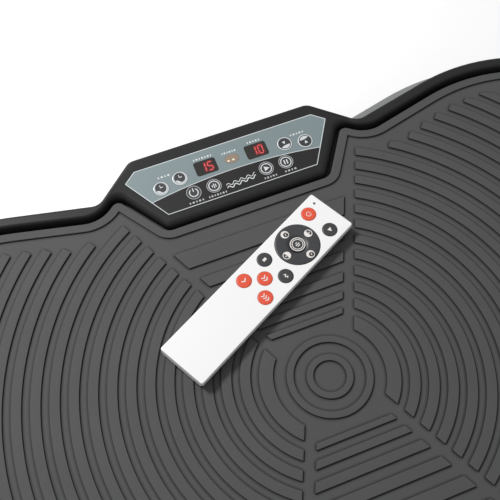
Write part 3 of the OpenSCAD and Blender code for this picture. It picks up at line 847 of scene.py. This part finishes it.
# Rows of plain pips where a console has its captions: from x, to x, height, and how many
CAPTIONS = [(-55, -45.1, 29.8, 4), (-26.6, -11.6, 34.4, 7), (-5.6, 6, 32.2, 6), (14.7, 25.6, 34.4, 5),
            (46.6, 58.2, 29.3, 5), (-40.6, -28.6, 2.9, 5), (-26, -11.4, 2.9, 7), (16.2, 27, 3.0, 5),
            (32, 41.8, 3.0, 4)]
PIP_H, PIP_FILL, PIP_WIDTHS = 1.35, 0.5, (0.8, 1.25)
FACE_LINE, DIVIDER_LINE = (-0.15, -0.65), 0.45
WAVE_START, WAVE_STEP, WAVE_GAP, WAVE_POINTS = Vector((-10.5, 5.2)), Vector((0.5, 0.045)), 2.2, 46
WAVE_LINES = (0.7, 0.5)


def divider_circle():
    """The circle that the divider is a part of: its middle's height and its radius."""
    x, y = DIVIDER_END
    r = (x * x + DIVIDER_RISE ** 2) / (2 * DIVIDER_RISE)
    return y + DIVIDER_RISE - r, r


def divider():
    """The curve between the silver and the black zones, from the left edge to the right."""
    y, r = divider_circle()
    half = degrees(asin(DIVIDER_END[0] / r))
    return arc(0, y, r, 90 + half, 90 - half, 32)


def face_width(y):
    """Half the face's width at the height y, where its sides slant."""
    (wide, top, _), (narrow, foot, _) = FACE_PATH[1:3]
    return narrow + (wide - narrow) * (y - foot) / (top - foot)


def face_holes():
    spots = [*UPPER_KEYS.values(), *LOWER_KEYS.values()]
    return ([circle(x, y, KEY_R + KEY_GAP) for x, y in spots]
            + [box_outline(x, y, DISPLAY_W + 0.2, DISPLAY_H + 0.2, WINDOW_R) for x, y in DISPLAYS]
            + [oval(*IR_SPOT, IR_SIZE[0] + 0.1, IR_SIZE[1] + 0.1)])


def console_face():
    """The printed film: silver above the divider and black below it, with its holes."""
    bm = bmesh.new()
    place = console_place()
    outline = rounded(FACE_PATH)
    curve = divider()
    end_y = curve[0].y
    width = face_width(end_y)
    right = [p for p in outline if p.y > end_y and p.x > 0]
    left = [p for p in outline if p.y > end_y and p.x < 0]
    below = [p for p in outline if p.y < end_y]
    full = right + [Vector((width, end_y))] + below + [Vector((-width, end_y))] + left
    right_end, left_end = len(right), len(right) + 1 + len(below)
    top, bottom = ring(bm, full, 0, place), ring(bm, full, -FILM_T, place)
    line = ring(bm, curve[1:-1], 0, place)
    zones = [top[left_end:] + top[:right_end + 1] + line[::-1], top[right_end:left_end + 1] + line]
    holes = face_holes()
    hole_bottoms = [ring(bm, h, -FILM_T, place) for h in holes]
    hole_tops = [ring(bm, h, 0, place) for h in holes]
    for upper, lower in zip([top] + hole_tops, [bottom] + hole_bottoms):
        skin(bm, [upper, lower])
    middle_y, r = divider_circle()
    for slot, zone in enumerate(zones):
        own = [v for h, v in zip(holes, hole_tops) if (hypot(h[0].x, h[0].y - middle_y) < r) == slot]
        fill(bm, [zone] + own, slot, place)
    fill(bm, [bottom] + hole_bottoms, 0, place)
    return finished("console_film", bm, "deck", [FACE_SILVER, FACE_BLACK], ["console_overlay"])


def console_print():
    """The fine light lines round the face and along the divider, rows of pips, and a wave."""
    bm = bmesh.new()
    curve = divider()
    curve[0] = curve[0].lerp(curve[1], 0.15)
    curve[-1] = curve[-1].lerp(curve[-2], 0.15)
    drawn = [([rounded(grown(FACE_PATH, d)) for d in FACE_LINE], 0), ([stroke(curve, DIVIDER_LINE)], 0)]
    for start, end, y, count in CAPTIONS:
        pitch = (end - start) / count
        for i in range(count):
            pip = box_outline(start + pitch * (i + 0.5), y, pitch * PIP_FILL * PIP_WIDTHS[i % 2], PIP_H, 0.1)
            drawn.append(([pip], int(y < DIVIDER_END[1])))
    for i, width in enumerate(WAVE_LINES):
        wave = [WAVE_START + k * WAVE_STEP + Vector((0, WAVE_GAP * i + sin(0.6 * k)))
                for k in range(WAVE_POINTS)]
        drawn.append(([stroke(wave, width)], 0))
    for outlines, slot in drawn:
        prism(bm, outlines, SUNK, INK, slot, console_place())
    return finished("console_print", bm, "deck", [PRINT_WHITE, CAPTION_GREY])


# ---- Icons: outlines about (0, 0), each a list of loops ----

def power_icon(r):
    """An open circle with a bar in its gap."""
    return [stroke(arc(0, 0, r, 125, 415), 0.24 * r)], [stroke([(0, 0.2 * r), (0, 1.12 * r)], 0.24 * r)]


def play_icon(r):
    corners = [(0.95 * r, 0, 0.1), (-0.55 * r, -0.8 * r, 0.1), (-0.55 * r, 0.8 * r, 0.1)]
    return [rounded(corners, radians(40))],


def pause_icon(r):
    return tuple([box_outline(x * r, 0, 0.36 * r, 1.5 * r, 0.1)] for x in (-0.42, 0.42))


def stop_icon(r):
    return [box_outline(0, 0, 0.95 * r, 1.45 * r, 0.1)],


def bars_icon(r):
    """Three upright bars of different heights, for the programmes."""
    return tuple([box_outline((0.62 * i - 0.62) * r, 0, 0.3 * r, height * r, 0.05)]
                 for i, height in enumerate((0.8, 1.8, 1.2)))


def line_icon(r, width, *points):
    """A line of that width through the points, all of them for r = 1."""
    return [stroke([(x * r, y * r) for x, y in points], width * r)],


def clock_icon(r):
    """Two clock hands, at three."""
    return line_icon(r, 0.26, (-0.05, 0.95), (0, 0), (0.92, 0.02))


def mode_icon(r):
    return line_icon(r, 0.3, (-0.95, -0.3), (-0.45, 0.45), (0.1, -0.45), (0.6, 0.4), (1.0, -0.2))


def chevron_icon(count):
    """One, two or three chevrons, for the three paces."""
    def drawn(r):
        middles = [0.9 * i - 0.45 * (count - 1) for i in range(count)]
        return sum((line_icon(r, 0.28, (x - 0.3, 0.75), (x + 0.3, 0), (x - 0.3, -0.75)) for x in middles), ())
    return drawn


def draw(bm, icon, r, z, slot, place):
    """Prints an icon of that size at the height z."""
    for loops in icon(r):
        prism(bm, loops, z - INK, z, slot, place)


# ---- Console keys, displays and infrared window ----

KEY_FACE = 0.17
KEY_PROFILE = [(0, -3.9), (KEY_R, -3.9), (KEY_R, 0.02), (KEY_R - 0.12, 0.17), (KEY_R - 0.35, 0.25),
               (KEY_R - 0.6, 0.24), (KEY_R - 0.8, KEY_FACE), (0, KEY_FACE)]
DISC_R, DISC_AT = 4.0, (-0.15, 0.45)


def lens(r, dip=28):
    """The lower part of a disc, under a line that rises a little in the middle."""
    edge = arc(0, 0, r, dip - 180, -dip, 20)
    return edge + [edge[-1].lerp(edge[0], k / 8) + Vector((0, 0.12 * r * sin(pi * k / 8)))
                   for k in range(1, 8)]


def upper_key(node, spot):
    """A time or speed key: a light bezel round a dark disc, with a light crescent and its icon."""
    bm = bmesh.new()
    place = console_place(*spot)
    lathe(bm, KEY_PROFILE, place, [0, 0, 0, 0, 0, 0, 1])
    if node.startswith("time"):
        disc = place @ shift(*DISC_AT)
        bank = [Vector((-3.45 + 5.0 * t, -1.65 - 1.7 * t + 0.6 * sin(2 * pi * t)))
                for t in (k / 14 for k in range(15))]
        crescent = bank + arc(0, 0, DISC_R - 0.1, 300, 205, 12)
        layers = [(circle(0, 0, KEY_R - 1.0, 48), 0, place), (circle(0, 0, DISC_R, 48), 1, disc),
                  (crescent, 0, disc)]
        for i, (outline, slot, where) in enumerate(layers, 1):
            prism(bm, [outline], 0.1, KEY_FACE + i * INK, slot, where)
        draw(bm, clock_icon, 2.1, KEY_FACE + 4 * INK, 2, disc @ shift(-0.1, 0.3))
    else:
        turn = place @ spin(radians(10 if node == "speed_down_key" else 190))
        prism(bm, [lens(DISC_R)], 0.1, KEY_FACE + INK, 0, turn)
        draw(bm, play_icon, 1.6, KEY_FACE + INK, 2, turn @ shift(0, 1.1) @ spin(-pi / 2))
    return finished("cap_" + node, bm, node, [KEY_SILVER, KEY_BLACK, PRINT_WHITE], [node])


def loops_of(r, width):
    """The two edges of a circular line, about (0, 0)."""
    return [circle(0, 0, r + width / 2, 48), circle(0, 0, r - width / 2, 48)]


def lower_key(node, spot, icon, size, inner):
    """A black key with a printed ring round its icon, and a second ring inside where it has one."""
    bm = bmesh.new()
    place = console_place(*spot)
    lathe(bm, KEY_PROFILE, place)
    prism(bm, loops_of(KEY_R - 0.39, 0.62), 0.0, 0.25 + INK, 2, place)
    if inner:
        prism(bm, loops_of(3.75, 0.7), 0.1, KEY_FACE + INK, 1, place)
    draw(bm, icon, size, KEY_FACE + INK, 1, place)
    return finished("cap_" + node, bm, node, [KEY_BLACK, PRINT_WHITE, PRINT_GREY], [node])


LOWER_ICONS = {"power_key": (power_icon, 3.1, False), "program_key": (bars_icon, 2.1, True),
               "start_key": (play_icon, 2.5, True), "pause_key": (pause_icon, 2.4, True)}
# Which bars a digit lights: top, upper left, upper right, middle, lower left, lower right, bottom
LIT = {"0": "1110111", "1": "0010010", "5": "1101011"}
DIGIT_W, DIGIT_H, BAR_W, DIGIT_PITCH = 3.5, 7.0, 0.46, 5.1
DIGIT_LEAN, FIRST_DIGIT, HALO = 0.03, (-1.9, -0.1), 0.95


def digit_bars(x, y):
    """The seven bars' outlines for a digit about (x, y), leaning a little."""
    half = BAR_W / 2
    w, h = DIGIT_W / 2 - half, DIGIT_H / 2 - half
    spots = [(0, h), (-w, h / 2), (w, h / 2), (0, 0), (-w, -h / 2), (w, -h / 2), (0, -h)]
    bars = []
    for bx, by in spots:
        long = (h / 2 if bx else w) - 0.1
        shape = [(long, 0), (long - half, half), (half - long, half), (-long, 0), (half - long, -half),
                 (long - half, -half)]
        if bx:
            shape = [(-q, p) for p, q in shape]
        bars.append([Vector((x + bx + p + DIGIT_LEAN * (by + q), y + by + q)) for p, q in shape])
    return bars


def halo(bar):
    """The soft round patch that a lit bar throws on the window about it."""
    centre = (bar[0] + bar[3]) / 2
    along = (bar[0] - bar[3]) / 2
    across = Vector((-along.y, along.x)).normalized() * (BAR_W / 2 + HALO)
    along += along.normalized() * HALO
    return [centre + along * cos(t) + across * sin(t) for t in turns(24)]


def displays():
    """Two smoked windows with the lit time and speed behind them."""
    place = console_place()
    glass, light = bmesh.new(), bmesh.new()
    for (x, y), digits in DISPLAYS.items():
        sizes = ((DISPLAY_W, DISPLAY_H, -FILM_T), (DISPLAY_W, DISPLAY_H, -0.12),
                 (DISPLAY_W - 0.24, DISPLAY_H - 0.24, 0))
        closed(glass, [ring(glass, box_outline(x, y, w, h, WINDOW_R), z, place) for w, h, z in sizes], place)
        prism(light, [box_outline(x, y, DISPLAY_W - 0.6, DISPLAY_H - 0.6)], -4.5, -0.9, 1, place)
        for i, digit in enumerate(digits):
            bars = digit_bars(x + FIRST_DIGIT[0] + DIGIT_PITCH * i, y + FIRST_DIGIT[1])
            for bar in (bar for lit, bar in zip(LIT[digit], bars) if lit == "1"):
                prism(light, [halo(bar)], SUNK / 2, 0.5 * INK, 2, place)
                prism(light, [bar], SUNK / 2, 1.5 * INK, 0, place)
    finished("display_glass", glass, "deck", [WINDOW_DARK], ["display_windows"])
    finished("display_digits", light, "deck", [DIGIT_RED, KEY_BLACK, DIGIT_HALO], ["led_displays"])


def infrared_window():
    """The oval window, slightly domed, over the receiver's two diodes."""
    bm = bmesh.new()
    place = console_place()
    x, y = IR_SPOT
    width, height = IR_SIZE
    closed(bm, [ring(bm, oval(x, y, width - d, height - d), z, place)
                for d, z in ((0, -FILM_T), (0, 0), (0.3, 0.08), (1.2, 0.12), (2.4, 0.13))], place)
    for across in (-3.0, 0.7):
        prism(bm, [oval(x + across, y - 1.1, 1.0, 0.8, 20)], 0.05, 0.17, 1, place)
    return finished("infrared_lens", bm, "deck", [IR_AMBER, IR_LIGHT], ["ir_window"])


# ---- The remote: its own x runs to its head ----

REMOTE_AT, REMOTE_TURN = (-18.6, 73.2), radians(27.4)
REMOTE_L, REMOTE_W, REMOTE_T, REMOTE_SPLIT, REMOTE_CORNER = 152.6, 36.5, 7.5, 4.0, 1.6
REMOTE_PATH = [(x * REMOTE_L / 2, y * REMOTE_W / 2, REMOTE_CORNER) for x, y in CORNERS]
REMOTE_SKIN, REMOTE_STEP = 1.4, radians(12)
RING_AT, RING_R, CENTRE_R, REMOTE_KEY_R = (39, 0), 15.45, 5.65, 5.15
MARK_AT, MARK_R = 11.3, 2.85
# Where each key is, its icon, the icon's size and whether the key is red
REMOTE_KEYS = {"remote_power": ((62.3, 9.3), power_icon, 1.7, True),
               "remote_start": ((62.3, -9.3), play_icon, 1.9, False),
               "remote_stop": ((15.6, 9.3), stop_icon, 2.0, False),
               "remote_mode": ((15.6, -9.3), mode_icon, 1.8, False),
               "remote_pace_1": ((-5.2, 9.3), chevron_icon(1), 2.6, True),
               "remote_pace_2": ((5.1, 0), chevron_icon(2), 2.4, True),
               "remote_pace_3": ((-5.2, -9.3), chevron_icon(3), 2.2, True)}
TO_HEAD = spin(-pi / 2)
LAMP_AT, LAMP_HOLE = (71.5, 11.8), 0.9
KEY_FLOOR, DISH_R = 5.4, 8.2
BASE_LEAN = radians(25)
DRAWER_SLOT = (6, 24.4, 4)


def remote_place(x=0.0, y=0.0, z=0.0):
    return shift(*REMOTE_AT, MAT_TOP) @ spin(REMOTE_TURN) @ shift(x, y, z)


def leaned(path, z):
    """The remote's outline at the height z, where the base's long sides lean in."""
    lean = max(0.0, REMOTE_SPLIT - 0.6 - z) * tan(BASE_LEAN)
    return [(x, copysign(abs(y) - lean, y), r) for x, y, r in path]


def remote_lid():
    """The white top, with a hole for each key and the lamp."""
    bm = bmesh.new()
    place = remote_place()
    seam = REMOTE_SPLIT + 0.05
    outside = ([(-REMOTE_SKIN, REMOTE_T - REMOTE_SKIN), (-REMOTE_SKIN, seam), (-0.15, seam),
                (0, REMOTE_SPLIT + 0.2)] + fillet(-0.7, REMOTE_T - 0.7, 0.7, 0, 90, 5))
    rings = swept(bm, REMOTE_PATH, outside, place, REMOTE_STEP)
    skin(bm, rings)
    holes = [(key[0], REMOTE_KEY_R + 0.15, 40) for key in REMOTE_KEYS.values()]
    holes += [(RING_AT, RING_R + 0.2, 80), (LAMP_AT, LAMP_HOLE, 16)]
    upper, lower = [], []
    for spot, r, steps in holes:
        profile = ((r + 0.15, REMOTE_T), (r, REMOTE_T - 0.15), (r, REMOTE_T - REMOTE_SKIN))
        loops = spun(bm, profile, remote_place(*spot), steps)
        skin(bm, loops)
        upper.append(loops[0])
        lower.append(loops[-1])
    fill(bm, [rings[-1]] + upper, 0, place)
    fill(bm, [rings[0]] + lower, 0, place)
    return finished("remote_lid", bm, "remote", [REMOTE_WHITE], ["remote_top"])


def remote_tub():
    """The white base, with the slot for the cell's drawer."""
    bm = bmesh.new()
    place = remote_place()
    seam = REMOTE_SPLIT - 0.05
    outside = (fillet(-0.9, 0.95, 0.9, -90, 0)
               + [(0, REMOTE_SPLIT - 0.8), (0, REMOTE_SPLIT - 0.2), (-0.15, seam)])
    within = [(-REMOTE_SKIN, seam), (-REMOTE_SKIN, 1.0)]
    rings = [swept(bm, leaned(REMOTE_PATH, z), [(d, z)], place, REMOTE_STEP)[0] for d, z in outside]
    closed(bm, rings + swept(bm, leaned(REMOTE_PATH, 1.2), within, place, REMOTE_STEP), place)
    tub = finished("remote_tub", bm, "remote", [REMOTE_WHITE], ["remote_base"])
    carve(tub, [(remote_place(-REMOTE_L / 2, 0, 3), DRAWER_SLOT)])
    return tub


def remote_key(node, spot, icon, size, red):
    """A round key with a soft edge and its icon."""
    bm = bmesh.new()
    place = remote_place(*spot)
    r, top = REMOTE_KEY_R, REMOTE_T + 0.3 - INK
    lathe(bm, [(0, KEY_FLOOR), (r, KEY_FLOOR), (r, top - 0.32), (r - 0.15, top - 0.15), (r - 0.5, top - 0.03),
               (r - 1, top), (0, top)], place)
    draw(bm, icon, size, top + INK, 1, place @ TO_HEAD)
    material, slot = (KEY_RED, "key_red") if red else (KEY_BLACK, "key_black")
    return finished("cap_" + node, bm, node + "_body", [material, KEY_PRINT], [node])


def remote_ring():
    """The black ring, dished round its middle, with a light disc at each quarter."""
    bm = bmesh.new()
    place = remote_place(*RING_AT)
    top = REMOTE_T + 0.2 - INK
    hole = CENTRE_R + 0.2
    hoop(bm, [(hole, KEY_FLOOR), (RING_R, KEY_FLOOR), (RING_R, top - 0.45), (RING_R - 0.2, top - 0.18),
              (RING_R - 0.6, top - 0.04), (RING_R - 1.3, top), (DISH_R, top), (DISH_R - 1.2, top - 0.25),
              (hole + 0.2, top - 0.6), (hole, top - 0.8)], place, 96)
    for quarter in range(4):
        spot = place @ shift(*polar(MARK_AT, pi / 2 * quarter)) @ TO_HEAD
        prism(bm, [circle(0, 0, MARK_R, 32)], top - INK, top + INK, 1, spot)
        if quarter % 2:
            prism(bm, [circle(0.55, 0.35, 1.8, 28)], top, top + 1.5 * INK, 0, spot)
            draw(bm, clock_icon, 1.3, top + 2 * INK, 1, spot @ shift(0.2, 0.1))
        else:
            spot = spot @ spin(pi * (1 - quarter / 2))
            prism(bm, [lens(2.3, 6)], top, top + 1.5 * INK, 0, spot)
            draw(bm, play_icon, 0.8, top + 2 * INK, 1, spot @ shift(0, -0.85))
    return finished("cap_remote_ring", bm, "remote_ring_body", [KEY_BLACK, KEY_PRINT], ["remote_ring"])


def remote_centre():
    """The round key in the ring's middle, with a double ring and its mark."""
    bm = bmesh.new()
    place = remote_place(*RING_AT)
    top = REMOTE_T + 0.3 - INK
    lathe(bm, [(0, KEY_FLOOR), (CENTRE_R, KEY_FLOOR), (CENTRE_R, top - 0.35), (CENTRE_R - 0.15, top - 0.12),
               (CENTRE_R - 0.4, top - 0.02), (0, top)], place)
    for r, width in ((4.95, 0.6), (3.7, 0.5)):
        prism(bm, loops_of(r, width), top - INK, top + INK, 1, place)
    draw(bm, bars_icon, 2.0, top + INK, 1, place @ TO_HEAD)
    return finished("cap_remote_centre", bm, "remote_centre_body", [KEY_BLACK, KEY_PRINT],
                    ["remote_centre"])


def remote_lamp():
    """The indicator's small domed lens."""
    bm = bmesh.new()
    place = remote_place(*LAMP_AT)
    lathe(bm, [(0, 5.2), (0.8, 5.2), (0.8, 7.3), (0.6, 7.44), (0, 7.5)], place, steps=20)
    return finished("lamp_lens", bm, "remote", [LAMP_GREY], ["remote_lamp"])


# ---- CAD nodes that keep their shape, each with its material and how wide its edges are softened ----

NODE_LOOKS = [
    (FRAME_PAINT, {"chassis": 0.8, "motor_can": 1.0, "deck_frame": 0.8, "drive_yoke": 0.5}),
    (ZINC, {"drive_plate": 0.5, "motor_bracket": 0.4, "tray_screws": 0.3, "deck_plate": 0.3,
            "deck_screws": 0.3}),
    (BRIGHT_STEEL, {"ball_bearings": 0.4, "motor_shaft": 0.4, "crank_shaft": 0.4, "eccentric_bearing": 0.4,
                    "rocker_axle": 0.6, "coin_cell": 0.15}),
    (CAST, {"bearing_blocks": 1.2}),
    (ALLOY, {"motor_pulley": 0.3, "crank_pulley": 0.3}),
    (COPPER, {"armature": 0.5}),
    (FOOT_RUBBER, {"bump_stops": 0.8}),
    (BELT_RUBBER, {"drive_belt": 0.2}),
    (BOARD, {"control_board": 0.15, "console_board": 0.1, "remote_board": 0.08}),
    (TRAY_BLACK, {"mains_inlet": 0.35, "fuse_drawer": 0.25, "switch_frame": 0.3}),
    (SWITCH_RED, {"mains_switch": 0.35}),
    (WINDOW_DARK, {"remote_led": 0.12}),
    (REMOTE_WHITE, {"cell_drawer": 0.2}),
]
NODE_WELD, EDGE_STEPS = 0.002, 2


def keep_node(name, material, edge):
    """Gives a CAD node its material, softened edges and even shading."""
    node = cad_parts[name]
    node.data.materials.clear()
    node.data.materials.append(material)
    adjusted(node.modifiers.new("weld", "WELD"), merge_threshold=NODE_WELD * MM)
    adjusted(node.modifiers.new("soft_edges", "BEVEL"), width=edge * MM, segments=EDGE_STEPS,
             limit_method="ANGLE", angle_limit=SHARP, use_clamp_overlap=True)
    even_normals(node)


camera()
studio()
deck_shell()
rubber_mat()
base_tray()
side_ring()
feet()
console_face()
console_print()
for key, where in UPPER_KEYS.items():
    upper_key(key, where)
for key, where in LOWER_KEYS.items():
    lower_key(key, where, *LOWER_ICONS[key])
displays()
infrared_window()
remote_lid()
remote_tub()
for key, where in REMOTE_KEYS.items():
    remote_key(key, *where)
remote_ring()
remote_centre()
remote_lamp()
for look, nodes in NODE_LOOKS:
    for key, width in nodes.items():
        keep_node(key, look, width)
